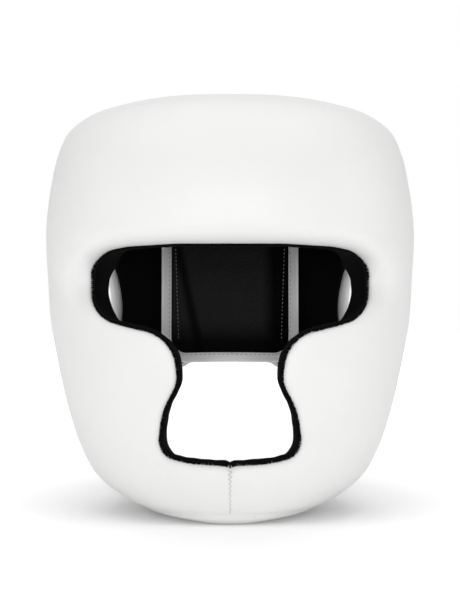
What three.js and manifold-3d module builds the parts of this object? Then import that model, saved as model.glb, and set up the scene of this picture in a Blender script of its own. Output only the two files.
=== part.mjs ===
// Full face boxing headgear, in millimetres. +Z is up and the face looks along -Y.
// It stands on the flat lower rim of its chin and jaw, with the origin under the middle of its box.
import * as THREE from "three";
import { mergeVertices } from "three/addons/utils/BufferGeometryUtils.js";
import Module from "manifold-3d";

const wasm = await Module();
wasm.setup();

// Driving dimensions
const GAP = 0.4; // between pieces that meet
const LINING = 2; // thickness of the black lining
const EDGE_ROLL = 9; // depth of white leather that rolls into the face opening before the lining starts
const SLEEVE = 2.2; // thickness of the lining where it covers the edge of the face opening
const SILL_DROP = 4.5; // lower edges of the face opening slope down by this much, from outside to inside
const BROW_RISE = 0.7; // and its upper edge slopes up by this much
const SIDE_TAPER = 6.5; // the outer ends of the eye slot draw in by this much
const STRAP = 3; // thickness of the closure strap
const STRAP_GAP = 0.7; // between that strap and the curved panels under it
const NAPE_PAD = 12; // thickness of the nape panel at its middle
const NAPE_EDGE = 5; // and at its sewn edge
const NAPE_RISE = 28; // how far in from its edge it is fully thick
const BINDING = 1.5; // leather binding wrapped round the nape panel
const BINDING_LIP = 7; // how far that binding reaches over the panel

// Plan shape of a section: a superellipse, squarer at the front than at the back
const OUTER_SQUARENESS = 2.5;
const CAVITY_SQUARENESS = 3;
const REAR_SQUARENESS = 2.05;

// The thick front pad thins to the side panel between these angles, counted from the middle of the face
const PAD_TAPER = { from: THREE.MathUtils.degToRad(66), to: THREE.MathUtils.degToRad(108) };

// Outside of the shell, from the floor to the rim of the crown opening.
// z, side and front belong to the thick front pad, and the rear columns to the thin panel behind the ears.
const OUTER_ROWS = [
  { z: 0, side: 38, front: 103, rearZ: 0, rearSide: 38, rear: 93 },
  { z: 6, side: 63.5, front: 109.5, rearZ: 6, rearSide: 54, rear: 95 },
  { z: 13, side: 76, front: 114.5, rearZ: 13, rearSide: 63, rear: 98 },
  { z: 24, side: 89, front: 118.5, rearZ: 24, rearSide: 71, rear: 101 },
  { z: 41, side: 98.8, front: 122, rearZ: 41, rearSide: 77.5, rear: 105 },
  { z: 62, side: 106.3, front: 123, rearZ: 62, rearSide: 83, rear: 108 },
  { z: 90, side: 113.5, front: 123, rearZ: 90, rearSide: 87, rear: 113 },
  { z: 120, side: 119.2, front: 123.5, rearZ: 120, rearSide: 89.5, rear: 119 },
  { z: 150, side: 121.4, front: 125, rearZ: 150, rearSide: 90, rear: 122.8 },
  { z: 180, side: 122, front: 127, rearZ: 180, rearSide: 90, rear: 123.3 },
  { z: 205, side: 118.8, front: 126.5, rearZ: 204, rearSide: 88, rear: 120 },
  { z: 224, side: 114.6, front: 121.5, rearZ: 222, rearSide: 83, rear: 113 },
  { z: 239, side: 108, front: 111, rearZ: 236, rearSide: 77, rear: 105 },
  { z: 250, side: 94.3, front: 98, rearZ: 246, rearSide: 70, rear: 94 },
  { z: 258, side: 73.5, front: 83, rearZ: 253.5, rearSide: 62, rear: 83 },
  { z: 263, side: 50, front: 63, rearZ: 257, rearSide: 52, rear: 75 },
  { z: 262, side: 45, front: 55, rearZ: 256, rearSide: 46, rear: 69 },
];

// Inside face of the lining, which is the space for the head, from the floor to the crown opening
const CAVITY_ROWS = [
  { z: 0, side: 31, front: 84, rear: 84 },
  { z: 12, side: 51, front: 88, rear: 89 },
  { z: 24, side: 62, front: 90, rear: 92 },
  { z: 50, side: 71.5, front: 91, rear: 97 },
  { z: 90, side: 78, front: 91, rear: 104 },
  { z: 130, side: 80.7, front: 91, rear: 111.5 },
  { z: 170, side: 81, front: 93, rear: 114.5 },
  { z: 205, side: 79, front: 91, rear: 111 },
  { z: 224, side: 73, front: 84, rear: 102 },
  { z: 238, side: 63, front: 72, rear: 88 },
  { z: 246, side: 52, front: 57, rear: 70 },
];

// Right half of the face opening, where the white leather ends, seen from the front
const SLOT_END = 84.6;
const FACE_CORNERS = [
  { x: 0, z: 169.8, radius: 0 },
  { x: 40, z: 169.8, radius: 0 },
  { x: SLOT_END, z: 165.2, radius: 18 },
  { x: SLOT_END - 0.6, z: 124.7, radius: 16 },
  { x: 35.2, z: 113.6, radius: 18 },
  { x: 31.3, z: 87.4, radius: 18 },
  { x: 40.9, z: 68.9, radius: 45 },
  { x: 43.9, z: 42.2, radius: 9.5 },
  { x: 0, z: 36.9, radius: 0 },
];

// Ear hole, seen from the side
const EAR = { y: 27, z: 128.5, length: 44, height: 54 };

// Lower edge behind the jaw, seen from the side: it rises from the floor to the nape
const JAW_END = { y: 32, radius: 40 };
const NAPE_EDGE_LINE = { y: 92, z: 84.5, radius: 12 };

// Slit at the back, between the two side panels
const SLIT = { width: 34, top: 214 };

// Closure strap across that slit
const CLOSURE = { width: 124, bottom: 126, top: 186, corner: 12 };

// Nape panel, seen from the front
const NAPE = { width: 96.6, bottom: 85.2, top: 234, corner: 14 };

const ROUND_STEPS = 48; // points round a section
const CUTTER_REACH = 160; // cutters reach this far from the middle, past every wall

// Looks of the materials
const LEATHER = { color: 0xf1f1ef, roughness: 0.45, metalness: 0 };
const CLOTH = { color: 0x101011, roughness: 0.9, metalness: 0 };
const TRIM = { color: 0xe2e2e0, roughness: 0.55, metalness: 0 };

// Signed power, so that a superellipse keeps the sign of its sine or cosine
function signedPower(value, power) {
  return Math.sign(value) * Math.abs(value) ** power;
}

// Columns of a table at height z, straight between its rows
function rowAt(rows, z) {
  const last = rows.length - 1;
  let upper = rows.findIndex((row) => row.z >= z);
  if (upper < 0) upper = last;
  if (upper === 0) upper = 1;
  const low = rows[upper - 1];
  const high = rows[upper];
  const share = (z - low.z) / (high.z - low.z);
  const row = {};
  for (const column of Object.keys(low)) {
    row[column] = THREE.MathUtils.lerp(low[column], high[column], share);
  }
  return row;
}

// One point of a superellipse section; angle 0 is the middle of the face and a quarter turn is +X
function ellipsePoint(angle, side, front, rear, squareness) {
  const ahead = Math.cos(angle) > 0;
  const power = 2 / (ahead ? squareness : REAR_SQUARENESS);
  const x = side * signedPower(Math.sin(angle), power);
  const y = -(ahead ? front : rear) * signedPower(Math.cos(angle), power);
  return { x, y };
}

// A point on the inside of the lining, moved outwards by depth
function cavityPoint(row, angle, depth = 0) {
  const at = ellipsePoint(angle, row.side + depth, row.front + depth, row.rear + depth, CAVITY_SQUARENESS);
  return new THREE.Vector3(at.x, at.y, row.z);
}

// A point on the outside of the shell, moved inwards by depth
function outerPoint(row, angle, depth = 0) {
  const turn = Math.abs(Math.atan2(Math.sin(angle), Math.cos(angle)));
  const thin = THREE.MathUtils.smoothstep(turn, PAD_TAPER.from, PAD_TAPER.to);
  const front = row.front - depth;
  const rear = row.rear - depth;
  const pad = ellipsePoint(angle, row.side - depth, front, rear, OUTER_SQUARENESS);
  const panel = ellipsePoint(angle, row.rearSide - depth, front, rear, OUTER_SQUARENESS);
  return new THREE.Vector3(
    THREE.MathUtils.lerp(pad.x, panel.x, thin),
    THREE.MathUtils.lerp(pad.y, panel.y, thin),
    THREE.MathUtils.lerp(row.z, row.rearZ, thin),
  );
}

// Angle on the front of a section where it reaches x
function frontAngle(x, side, squareness) {
  const reach = Math.min(Math.abs(x) / side, 0.999);
  return Math.sign(x) * Math.asin(reach ** (squareness / 2));
}

// Points round a whole section
function sectionLoop(pointAt) {
  return Array.from({ length: ROUND_STEPS }, (_, i) => pointAt((2 * Math.PI * i) / ROUND_STEPS));
}

// A geometry from vertices and triangles
function meshOf(points, triangles) {
  const geometry = new THREE.BufferGeometry().setFromPoints(points);
  geometry.setIndex(triangles.flat());
  return geometry;
}

// A closed tube of loops, the last joined back to the first
function ringGeometry(loops) {
  const count = loops[0].length;
  const triangles = [];
  loops.forEach((_, i) => {
    const low = i * count;
    const high = ((i + 1) % loops.length) * count;
    for (let j = 0; j < count; j++) {
      const next = (j + 1) % count;
      triangles.push([low + j, low + next, high + next], [low + j, high + next, high + j]);
    }
  });
  return meshOf(loops.flat(), triangles);
}

// A closed solid of loops stacked between two end points
function lensGeometry(loops, startPole, endPole) {
  const count = loops[0].length;
  const start = loops.length * count;
  const last = (loops.length - 1) * count;
  const triangles = [];
  for (let j = 0; j < count; j++) {
    const next = (j + 1) % count;
    triangles.push([start, next, j], [start + 1, last + j, last + next]);
    for (let low = 0; low < last; low += count) {
      const high = low + count;
      triangles.push([low + j, low + next, high + next], [low + j, high + next, high + j]);
    }
  }
  return meshOf([...loops.flat(), startPole, endPole], triangles);
}

// A solid between two closed loops of the same count, capped by flat triangulation of its outline
function ruledGeometry(startLoop, endLoop, outline) {
  const count = startLoop.length;
  const caps = THREE.ShapeUtils.triangulateShape(outline, []);
  const triangles = [];
  for (const [a, b, c] of caps) {
    triangles.push([a, b, c], [count + a, count + c, count + b]);
  }
  for (let j = 0; j < count; j++) {
    const next = (j + 1) % count;
    triangles.push([j, count + next, next], [j, count + j, count + next]);
  }
  return meshOf([...startLoop, ...endLoop], triangles);
}

// A solid between a front and a back surface over a grid of u and v, each from 0 to 1
function slabGeometry(frontAt, backAt, uSteps, vSteps) {
  const points = [];
  for (const surfaceAt of [frontAt, backAt]) {
    for (let j = 0; j <= vSteps; j++) {
      for (let i = 0; i <= uSteps; i++) points.push(surfaceAt(i / uSteps, j / vSteps));
    }
  }
  const sheet = (uSteps + 1) * (vSteps + 1);
  const at = (i, j) => j * (uSteps + 1) + i;
  const triangles = [];
  const quad = (a, b, c, d) => triangles.push([a, b, c], [a, c, d]);
  for (let j = 0; j < vSteps; j++) {
    for (let i = 0; i < uSteps; i++) {
      quad(at(i, j), at(i + 1, j), at(i + 1, j + 1), at(i, j + 1));
      quad(sheet + at(i, j), sheet + at(i, j + 1), sheet + at(i + 1, j + 1), sheet + at(i + 1, j));
    }
  }
  for (let i = 0; i < uSteps; i++) {
    quad(at(i, 0), sheet + at(i, 0), sheet + at(i + 1, 0), at(i + 1, 0));
    quad(at(i + 1, vSteps), sheet + at(i + 1, vSteps), sheet + at(i, vSteps), at(i, vSteps));
  }
  for (let j = 0; j < vSteps; j++) {
    quad(at(0, j + 1), sheet + at(0, j + 1), sheet + at(0, j), at(0, j));
    quad(at(uSteps, j), sheet + at(uSteps, j), sheet + at(uSteps, j + 1), at(uSteps, j + 1));
  }
  return meshOf(points, triangles);
}

// A boolean solid from a closed geometry
function solidOf(geometry) {
  const bare = geometry.clone();
  bare.deleteAttribute("normal");
  bare.deleteAttribute("uv");
  const merged = mergeVertices(bare, 1e-4);
  const vertProperties = new Float32Array(merged.attributes.position.array);
  const triVerts = new Uint32Array(merged.index.array);
  let made = new wasm.Manifold(new wasm.Mesh({ numProp: 3, vertProperties, triVerts }));
  if (made.volume() < 0) {
    for (let i = 0; i < triVerts.length; i += 3) {
      [triVerts[i + 1], triVerts[i + 2]] = [triVerts[i + 2], triVerts[i + 1]];
    }
    made = new wasm.Manifold(new wasm.Mesh({ numProp: 3, vertProperties, triVerts }));
  }
  return made;
}

// The triangles of a boolean solid, as a named mesh with a material of its own
function meshNode(name, solid, look) {
  const made = solid.getMesh();
  const positions = new Float32Array(made.numVert * 3);
  for (let i = 0; i < made.numVert; i++) {
    positions.set(made.vertProperties.subarray(i * made.numProp, i * made.numProp + 3), i * 3);
  }
  const geometry = new THREE.BufferGeometry();
  geometry.setAttribute("position", new THREE.BufferAttribute(positions, 3));
  geometry.setIndex(new THREE.BufferAttribute(made.triVerts, 1));
  geometry.computeVertexNormals();
  const mesh = new THREE.Mesh(geometry, new THREE.MeshStandardMaterial(look));
  mesh.name = name;
  return mesh;
}

// Points along corners joined by lines, each corner rounded by an arc of its radius
function roundedPath(corners, arcSteps) {
  const points = [];
  corners.forEach((corner, i) => {
    const here = new THREE.Vector2(corner.x, corner.z);
    if (!corner.radius || i === 0 || i === corners.length - 1) {
      points.push(here);
      return;
    }
    const back = new THREE.Vector2(corners[i - 1].x, corners[i - 1].z).sub(here).normalize();
    const ahead = new THREE.Vector2(corners[i + 1].x, corners[i + 1].z).sub(here).normalize();
    const half = Math.acos(THREE.MathUtils.clamp(back.dot(ahead), -1, 1)) / 2;
    const reach = corner.radius / Math.tan(half);
    const away = corner.radius / Math.sin(half);
    const middle = back.clone().add(ahead).normalize().multiplyScalar(away).add(here);
    const start = back.multiplyScalar(reach).add(here).sub(middle);
    const end = ahead.multiplyScalar(reach).add(here).sub(middle);
    const sweep = Math.atan2(start.cross(end), start.dot(end));
    for (let k = 0; k <= arcSteps; k++) {
      points.push(start.clone().rotateAround(new THREE.Vector2(), (sweep * k) / arcSteps).add(middle));
    }
  });
  return points;
}

// The whole outline of the face opening, right half and its mirror image, anticlockwise seen from the front
function faceOutline() {
  const right = roundedPath(FACE_CORNERS, 5);
  const left = right.slice(1, -1).reverse();
  return [...right, ...left.map((p) => new THREE.Vector2(-p.x, p.y))].reverse();
}

// An outline moved towards its own inside
function insetOutline(outline, distance) {
  const count = outline.length;
  return outline.map((point, i) => {
    const along = outline[(i + 1) % count].clone().sub(outline[(i + count - 1) % count]).normalize();
    return new THREE.Vector2(point.x - along.y * distance, point.y + along.x * distance);
  });
}

// An anticlockwise outline with its lower edges dropped and its upper edges raised
function slopedOutline(outline) {
  const count = outline.length;
  return outline.map((point, i) => {
    const along = outline[(i + 1) % count].clone().sub(outline[(i + count - 1) % count]).normalize();
    return new THREE.Vector2(point.x, point.y - along.x * (along.x > 0 ? SILL_DROP : BROW_RISE));
  });
}

// A cutter through the front wall, from the outline on the outside to a sloped one on the inside
function faceCutter(inset) {
  const overshoot = 0.9;
  const outside = insetOutline(faceOutline(), inset);
  const inside = slopedOutline(outside);
  const nearLoop = [];
  const farLoop = [];
  outside.forEach((point, i) => {
    const outerRow = rowAt(OUTER_ROWS, point.y);
    const near = outerPoint(outerRow, frontAngle(point.x, outerRow.side, OUTER_SQUARENESS));
    const cavityRow = rowAt(CAVITY_ROWS, inside[i].y);
    const drawn = inside[i].x * (1 - (SIDE_TAPER / SLOT_END) * Math.abs(inside[i].x / SLOT_END));
    const far = cavityPoint(cavityRow, frontAngle(drawn, cavityRow.side, CAVITY_SQUARENESS));
    const through = far.clone().sub(near);
    nearLoop.push(near.clone().addScaledVector(through, -overshoot));
    farLoop.push(far.clone().addScaledVector(through, overshoot));
  });
  return solidOf(ruledGeometry(nearLoop, farLoop, outside));
}

// A shape drawn in Y and Z, extruded along X through both sides
function sidewaysExtrusion(shape) {
  const options = { depth: 2 * CUTTER_REACH, bevelEnabled: false, curveSegments: 10 };
  const geometry = new THREE.ExtrudeGeometry(shape, options).translate(0, 0, -CUTTER_REACH);
  const alongX = new THREE.Vector3(1, 0, 0);
  const alongY = new THREE.Vector3(0, 1, 0);
  const alongZ = new THREE.Vector3(0, 0, 1);
  return geometry.applyMatrix4(new THREE.Matrix4().makeBasis(alongY, alongZ, alongX));
}

// An oval cutter through both ears
function earCutter() {
  const shape = new THREE.Shape();
  shape.absellipse(0, 0, EAR.length / 2, EAR.height / 2, 0, 2 * Math.PI);
  return solidOf(sidewaysExtrusion(shape).translate(0, EAR.y, EAR.z));
}

// Removes what lies under the rising lower edge behind the jaw, raised by lift
function lowerEdgeCutter(lift) {
  const below = lift - 1;
  const edge = roundedPath([
    { x: JAW_END.y - 2 * JAW_END.radius, z: below, radius: 0 },
    { x: JAW_END.y, z: below, radius: JAW_END.radius },
    { x: NAPE_EDGE_LINE.y, z: NAPE_EDGE_LINE.z + lift, radius: NAPE_EDGE_LINE.radius },
    { x: CUTTER_REACH, z: NAPE_EDGE_LINE.z + lift, radius: 0 },
  ], 6);
  const under = [CUTTER_REACH, edge[0].x].map((y) => new THREE.Vector2(y, -CUTTER_REACH));
  return solidOf(sidewaysExtrusion(new THREE.Shape([...edge, ...under])));
}

// The slit at the back, round at its top
function slitCutter() {
  const half = SLIT.width / 2;
  const shape = new THREE.Shape();
  shape.moveTo(-half, 0);
  shape.lineTo(half, 0);
  shape.lineTo(half, SLIT.top - half);
  shape.absarc(0, SLIT.top - half, half, 0, Math.PI);
  const options = { depth: CUTTER_REACH, bevelEnabled: false, curveSegments: 8 };
  const geometry = new THREE.ExtrudeGeometry(shape, options).rotateX(Math.PI / 2);
  return solidOf(geometry.translate(0, CUTTER_REACH, 0));
}

// A ring between the outside, moved in by outerDepth, and the cavity, moved out by innerDepth
function wallRing(outerDepth, innerDepth) {
  const outer = OUTER_ROWS.map((row) => sectionLoop((angle) => outerPoint(row, angle, outerDepth)));
  const inner = CAVITY_ROWS.map((row) => sectionLoop((angle) => cavityPoint(row, angle, innerDepth)));
  return solidOf(ringGeometry([...outer, ...inner.reverse()]));
}

// White padded shell: forehead, temples, cheeks, chin and the thin panels round the ears
function paddedShell() {
  return wallRing(0, LINING + GAP)
    .subtract(faceCutter(0))
    .subtract(earCutter())
    .subtract(lowerEdgeCutter(0))
    .subtract(slitCutter());
}

// Black lining: the inside of the wall, and a sleeve that covers the edge of the face opening
function lining() {
  const floorMargin = 8;
  const outer = CAVITY_ROWS.map((row) => sectionLoop((angle) => cavityPoint(row, angle, LINING)));
  const inner = CAVITY_ROWS.map((row) => sectionLoop((angle) => cavityPoint(row, angle)));
  const layer = solidOf(ringGeometry([...outer, ...inner.reverse()]));
  const sleeve = wallRing(EDGE_ROLL, LINING / 2).intersect(faceCutter(GAP));
  const trimmed = layer.add(sleeve)
    .subtract(faceCutter(GAP + SLEEVE))
    .subtract(earCutter())
    .subtract(lowerEdgeCutter(floorMargin))
    .subtract(slitCutter());
  const floor = new THREE.BoxGeometry(2 * CUTTER_REACH, 2 * CUTTER_REACH, 2 * floorMargin);
  return trimmed.subtract(solidOf(floor));
}

// White crown panel that fills the opening at the top, slightly domed
function crownPanel() {
  const toAxis = (loop) => loop.map((p) => {
    const share = 1 - (2 * GAP) / Math.hypot(p.x, p.y);
    return new THREE.Vector3(p.x * share, p.y * share, p.z);
  });
  const top = toAxis(sectionLoop((angle) => outerPoint(OUTER_ROWS.at(-1), angle)));
  const bottom = toAxis(sectionLoop((angle) => cavityPoint(CAVITY_ROWS.at(-1), angle, LINING + GAP)));
  const middle = new THREE.Vector3(0, 6, (OUTER_ROWS.at(-1).z + OUTER_ROWS.at(-1).rearZ) / 2);
  const dome = 2.5;
  const topLoops = [0.75, 0.5, 0.25].map((share) => top.map((p) => new THREE.Vector3(
    middle.x + (p.x - middle.x) * share,
    middle.y + (p.y - middle.y) * share,
    THREE.MathUtils.lerp(middle.z, p.z, share) + dome * (1 - share * share),
  )));
  const topPole = middle.clone().setZ(middle.z + dome);
  const bottomPole = middle.clone().setZ(bottom[0].z);
  return solidOf(lensGeometry([bottom, top, ...topLoops], bottomPole, topPole));
}

// A point on the back of the cavity at x and z, moved towards the head by depth
function napePoint(x, z, depth) {
  const row = rowAt(CAVITY_ROWS, z);
  const reach = Math.min(Math.abs(x) / row.side, 0.999);
  const y = row.rear * (1 - reach ** REAR_SQUARENESS) ** (1 / REAR_SQUARENESS);
  return new THREE.Vector3(x, y - depth, z);
}

// Half width of the nape panel at height z, with its round lower corners, drawn in by inset
function napeHalfWidth(z, inset) {
  const radius = NAPE.corner - inset;
  const above = z - (NAPE.bottom + inset);
  const flat = NAPE.width / 2 - NAPE.corner;
  if (above >= radius) return flat + radius;
  return flat + Math.sqrt(Math.max(radius ** 2 - (radius - above) ** 2, 0));
}

// How far a point of the nape panel lies inside its outline
function napeEdgeDistance(x, z) {
  const past = new THREE.Vector2(Math.abs(x) - NAPE.width / 2, NAPE.bottom - z).addScalar(NAPE.corner);
  const outside = Math.hypot(Math.max(past.x, 0), Math.max(past.y, 0));
  return NAPE.corner - outside - Math.min(Math.max(past.x, past.y), 0);
}

// Heights up the nape panel that follow its lower corners and every section of the cavity behind it
function napeHeights(bottom) {
  const corner = [0, 0.08, 0.25, 0.5, 0.75, 1].map((share) => bottom + share * NAPE.corner);
  const sections = CAVITY_ROWS.map((row) => row.z).filter((z) => z > corner.at(-1) && z < NAPE.top);
  const stops = [...corner, ...sections, NAPE.top];
  return stops.flatMap((z, i) => (i === 0 || z - stops[i - 1] < 12 ? [z] : [(z + stops[i - 1]) / 2, z]));
}

// Black padded nape panel inside the back, thick in the middle and thin where it is bound
function napePanel() {
  const inset = BINDING + GAP;
  const heights = napeHeights(NAPE.bottom + inset);
  const place = (u, v) => {
    const z = heights[Math.round(v * (heights.length - 1))];
    return { x: (2 * u - 1) * napeHalfWidth(z, inset), z };
  };
  const fill = (at) => THREE.MathUtils.smoothstep(napeEdgeDistance(at.x, at.z), BINDING_LIP, NAPE_RISE);
  const back = GAP + BINDING + GAP;
  const front = (u, v) => {
    const at = place(u, v);
    return napePoint(at.x, at.z, back + NAPE_EDGE + (NAPE_PAD - NAPE_EDGE) * fill(at));
  };
  const rear = (u, v) => {
    const at = place(u, v);
    return napePoint(at.x, at.z, back);
  };
  return solidOf(slabGeometry(front, rear, 12, heights.length - 1)).subtract(napeBinding(GAP));
}

// White binding wrapped round the sides and bottom of the nape panel: a channel swept along its edge,
// with its inner faces and lips grown by margin
function napeBinding(margin) {
  const half = NAPE.width / 2;
  const along = [0.75, 0.5, 0.25, 0].map((share) => share * (half - NAPE.corner));
  const right = roundedPath([
    { x: half, z: NAPE.top, radius: 0 },
    { x: half, z: NAPE.bottom, radius: NAPE.corner },
    ...along.map((x) => ({ x, z: NAPE.bottom, radius: 0 })),
  ], 5);
  const upright = napeHeights(NAPE.bottom).filter((z) => z > right[1].y + 2).reverse();
  const halfPath = [...upright.map((z) => new THREE.Vector2(half, z)), ...right.slice(1)];
  const mirrored = halfPath.slice(0, -1).reverse().map((p) => new THREE.Vector2(-p.x, p.y));
  const path = [...halfPath, ...mirrored];
  const thick = NAPE_EDGE + 2 * GAP + 2 * BINDING;
  const lip = BINDING_LIP + margin;
  const wall = BINDING + margin;
  const channel = [
    [0, 0], [lip, 0], [lip, wall], [wall, wall],
    [wall, thick - wall], [lip, thick - wall], [lip, thick], [0, thick],
  ];
  const outline = channel.map(([across, depth]) => new THREE.Vector2(across, depth));
  const loops = path.map((point, i) => {
    const before = path[Math.max(i - 1, 0)];
    const after = path[Math.min(i + 1, path.length - 1)];
    const heading = after.clone().sub(before).normalize();
    const inward = new THREE.Vector2(heading.y, -heading.x);
    return channel.map(([across, depth]) => {
      const flat = point.clone().addScaledVector(inward, across);
      return napePoint(flat.x, flat.y, GAP + depth);
    });
  });
  return solidOf(sweptGeometry(loops, outline));
}

// A solid swept through open loops, capped at both ends
function sweptGeometry(loops, outline) {
  const count = loops[0].length;
  const caps = THREE.ShapeUtils.triangulateShape(outline, []);
  const end = (loops.length - 1) * count;
  const triangles = [];
  for (const [a, b, c] of caps) triangles.push([a, c, b], [end + a, end + b, end + c]);
  for (let i = 0; i < loops.length - 1; i++) {
    for (let j = 0; j < count; j++) {
      const next = (j + 1) % count;
      const low = i * count;
      const high = low + count;
      triangles.push([low + j, low + next, high + next], [low + j, high + next, high + j]);
    }
  }
  return meshOf(loops.flat(), triangles);
}

// White closure strap across the slit, on the outside of the back
function closureStrap() {
  const reachAt = (x, z) => {
    const row = rowAt(OUTER_ROWS, z);
    const share = Math.abs(x) / row.rearSide;
    return row.rear * (1 - share ** REAR_SQUARENESS) ** (1 / REAR_SQUARENESS);
  };
  const middleZ = (CLOSURE.bottom + CLOSURE.top) / 2;
  const halfHeight = (CLOSURE.top - CLOSURE.bottom) / 2;
  const heightAt = (x) => {
    const past = Math.max(Math.abs(x) - (CLOSURE.width / 2 - CLOSURE.corner), 0);
    return halfHeight - CLOSURE.corner + Math.sqrt(CLOSURE.corner ** 2 - past ** 2);
  };
  const surface = (depth) => (u, v) => {
    const x = (2 * u - 1) * (CLOSURE.width / 2);
    const z = middleZ + (2 * v - 1) * heightAt(x);
    const flank = x / CLOSURE.width;
    return new THREE.Vector3(x + depth * flank, reachAt(x, z) + depth, z);
  };
  return solidOf(slabGeometry(surface(STRAP_GAP), surface(STRAP_GAP + STRAP), 16, 8));
}

const headgear = new THREE.Group();
headgear.add(
  meshNode("padded_shell", paddedShell(), LEATHER),
  meshNode("lining", lining(), CLOTH),
  meshNode("crown_panel", crownPanel(), LEATHER),
  meshNode("nape_panel", napePanel(), CLOTH),
  meshNode("nape_binding", napeBinding(0), TRIM),
  meshNode("closure_strap", closureStrap(), LEATHER),
);

export default headgear;
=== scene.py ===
import math
from types import SimpleNamespace

import bpy
import numpy as np
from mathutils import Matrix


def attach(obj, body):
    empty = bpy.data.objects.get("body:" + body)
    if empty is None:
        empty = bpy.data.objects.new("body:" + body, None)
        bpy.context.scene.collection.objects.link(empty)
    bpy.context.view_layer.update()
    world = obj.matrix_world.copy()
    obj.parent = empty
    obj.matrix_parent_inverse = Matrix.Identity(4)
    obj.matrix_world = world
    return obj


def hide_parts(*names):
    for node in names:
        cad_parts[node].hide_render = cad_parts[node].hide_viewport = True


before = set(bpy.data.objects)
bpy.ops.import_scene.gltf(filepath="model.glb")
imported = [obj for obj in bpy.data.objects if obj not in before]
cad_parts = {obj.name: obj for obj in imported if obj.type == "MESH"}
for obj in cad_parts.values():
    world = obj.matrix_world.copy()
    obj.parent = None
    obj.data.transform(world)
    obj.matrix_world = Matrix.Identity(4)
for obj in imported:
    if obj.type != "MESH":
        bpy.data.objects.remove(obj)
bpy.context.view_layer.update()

# Visual model of a full face boxing headgear, in the frame of its solids: +Z up, the face looks along -Y.
# Shapes are worked out in millimetres and turned into metres when a mesh is made.
MM = 0.001

# Driving dimensions, the same as in the solids
GAP = 0.4
LINING = 2.0
SILL_DROP = 4.5
BROW_RISE = 0.7
SIDE_TAPER = 6.5
STRAP = 3.0
STRAP_GAP = 0.7
NAPE_PAD = 12.0
NAPE_EDGE = 5.0
NAPE_RISE = 28.0
BINDING = 1.5
BINDING_LIP = 7.0
OUTER_SQUARENESS = 2.5
CAVITY_SQUARENESS = 3.0
REAR_SQUARENESS = 2.05
PAD_TAPER = (math.radians(66), math.radians(108))

# Outside of the shell: z, side and front of the front pad, then z, side and rear of the thin rear panel.
# The last two rows close the top, over the crown panel.
OUTER_ROWS = (
    (0, 38, 105.5, 0, 38, 93),
    (6, 63.5, 110.5, 6, 54, 95),
    (13, 76, 114.5, 13, 63, 98),
    (24, 89, 118.5, 24, 71, 101),
    (41, 98.8, 122, 41, 77.5, 105),
    (62, 106.3, 123, 62, 83, 108),
    (90, 113.5, 123, 90, 87, 113),
    (120, 119.2, 123.5, 120, 89.5, 119),
    (150, 121.4, 125, 150, 90, 122.8),
    (180, 122, 127, 180, 90, 123.3),
    (205, 118.8, 126.5, 204, 88, 120),
    (224, 114.6, 121.5, 222, 83, 113),
    (239, 108, 111, 236, 77, 105),
    (250, 94.3, 98, 246, 70, 94),
    (258, 71.5, 83, 253.5, 62, 83),
    (262.6, 47, 62, 257, 52, 75),
    (264, 26, 37, 261, 30, 46),
    (264.4, 0.5, 0.5, 264.4, 0.5, 0.5),
)

# Inside face of the lining: z, side, front and rear. The last two rows close the top under the crown panel.
CAVITY_SECTIONS = (
    (0, 31, 84, 84),
    (12, 51, 88, 89),
    (24, 62, 90, 92),
    (50, 71.5, 91, 97),
    (90, 78, 91, 104),
    (130, 80.7, 91, 111.5),
    (170, 81, 93, 114.5),
    (205, 79, 91, 111),
    (224, 73, 84, 102),
    (238, 63, 72, 88),
    (246, 52, 57, 70),
    (252, 30, 34, 44),
    (253, 0.5, 0.5, 0.5),
)
CAVITY_ROWS = tuple((z, side, front, z, side, rear) for z, side, front, rear in CAVITY_SECTIONS)

# Right half of the face opening where the white leather ends, seen from the front: x, z, corner radius.
# The last corner is the small notch at the chin seam.
SLOT_END = 84.1
FACE_CORNERS = (
    (0, 169.8, 0),
    (32, 169.8, 120),
    (62, 167.9, 60),
    (SLOT_END, 163.3, 18),
    (SLOT_END - 0.6, 125.9, 17),
    (33.9, 115.2, 24),
    (30.1, 87.4, 18),
    (39.7, 68.9, 45),
    (42.4, 44.8, 10),
    (24, 40.6, 60),
    (2.6, 39.3, 0),
    (0, 38.1, 0),
)

# Lower edge behind the jaw, seen from the side: y, z, corner radius
LOWER_EDGE = (
    (-48, -1, 0),
    (32, -1, 40),
    (92, 84.5, 12),
    (160, 84.5, 0),
)

EAR_MIDDLE = (27, 128.5)
EAR_HALF = (22, 27)
SLIT_HALF = 17
SLIT_TOP = 214
CROWN_RIM = (262, 45, 55, 69)
CROWN_FLARE = 0.58
CROWN_UNDERSIDE = 246.5
CLOSURE_HALF_WIDTH = 62
CLOSURE_BOTTOM = 126
CLOSURE_TOP = 186
CLOSURE_CORNER = 12
CLOSURE_MIDDLE = (CLOSURE_TOP + CLOSURE_BOTTOM) / 2
CLOSURE_HALF_HEIGHT = (CLOSURE_TOP - CLOSURE_BOTTOM) / 2
NAPE_HALF_WIDTH = 48.3
NAPE_BOTTOM = 85.2
NAPE_TOP = 234
NAPE_CORNER = 18
NAPE_BASE = GAP + BINDING + GAP + 0.2  # back of the nape panel, in from the lining
BINDING_THICK = NAPE_EDGE + 2 * GAP + 2 * BINDING

# Radii of the rolled leather edges
FACE_ROLL = 3.0
SLOT_END_ROLL = 4.0
BROW_ROLL = 14.0
INNER_ROLL = 5.0
FLOOR_ROLL = 3.0
EAR_ROLL = 3.0
PANEL_ROLL = 3.0
CROWN_ROLL = 4.0

# Soft valley outwards from each end of the eye slot: height, depth, and width above and below
VALLEY_HEIGHT = 147
VALLEY_DEPTH = 10.0
VALLEY_WIDTHS = (14, 15)

# Cloth edge round the face opening: half its thickness, and its middle in from the leather
SLEEVE_HALF = 0.6
SLEEVE_SET = GAP + SLEEVE_HALF + 0.1

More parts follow.
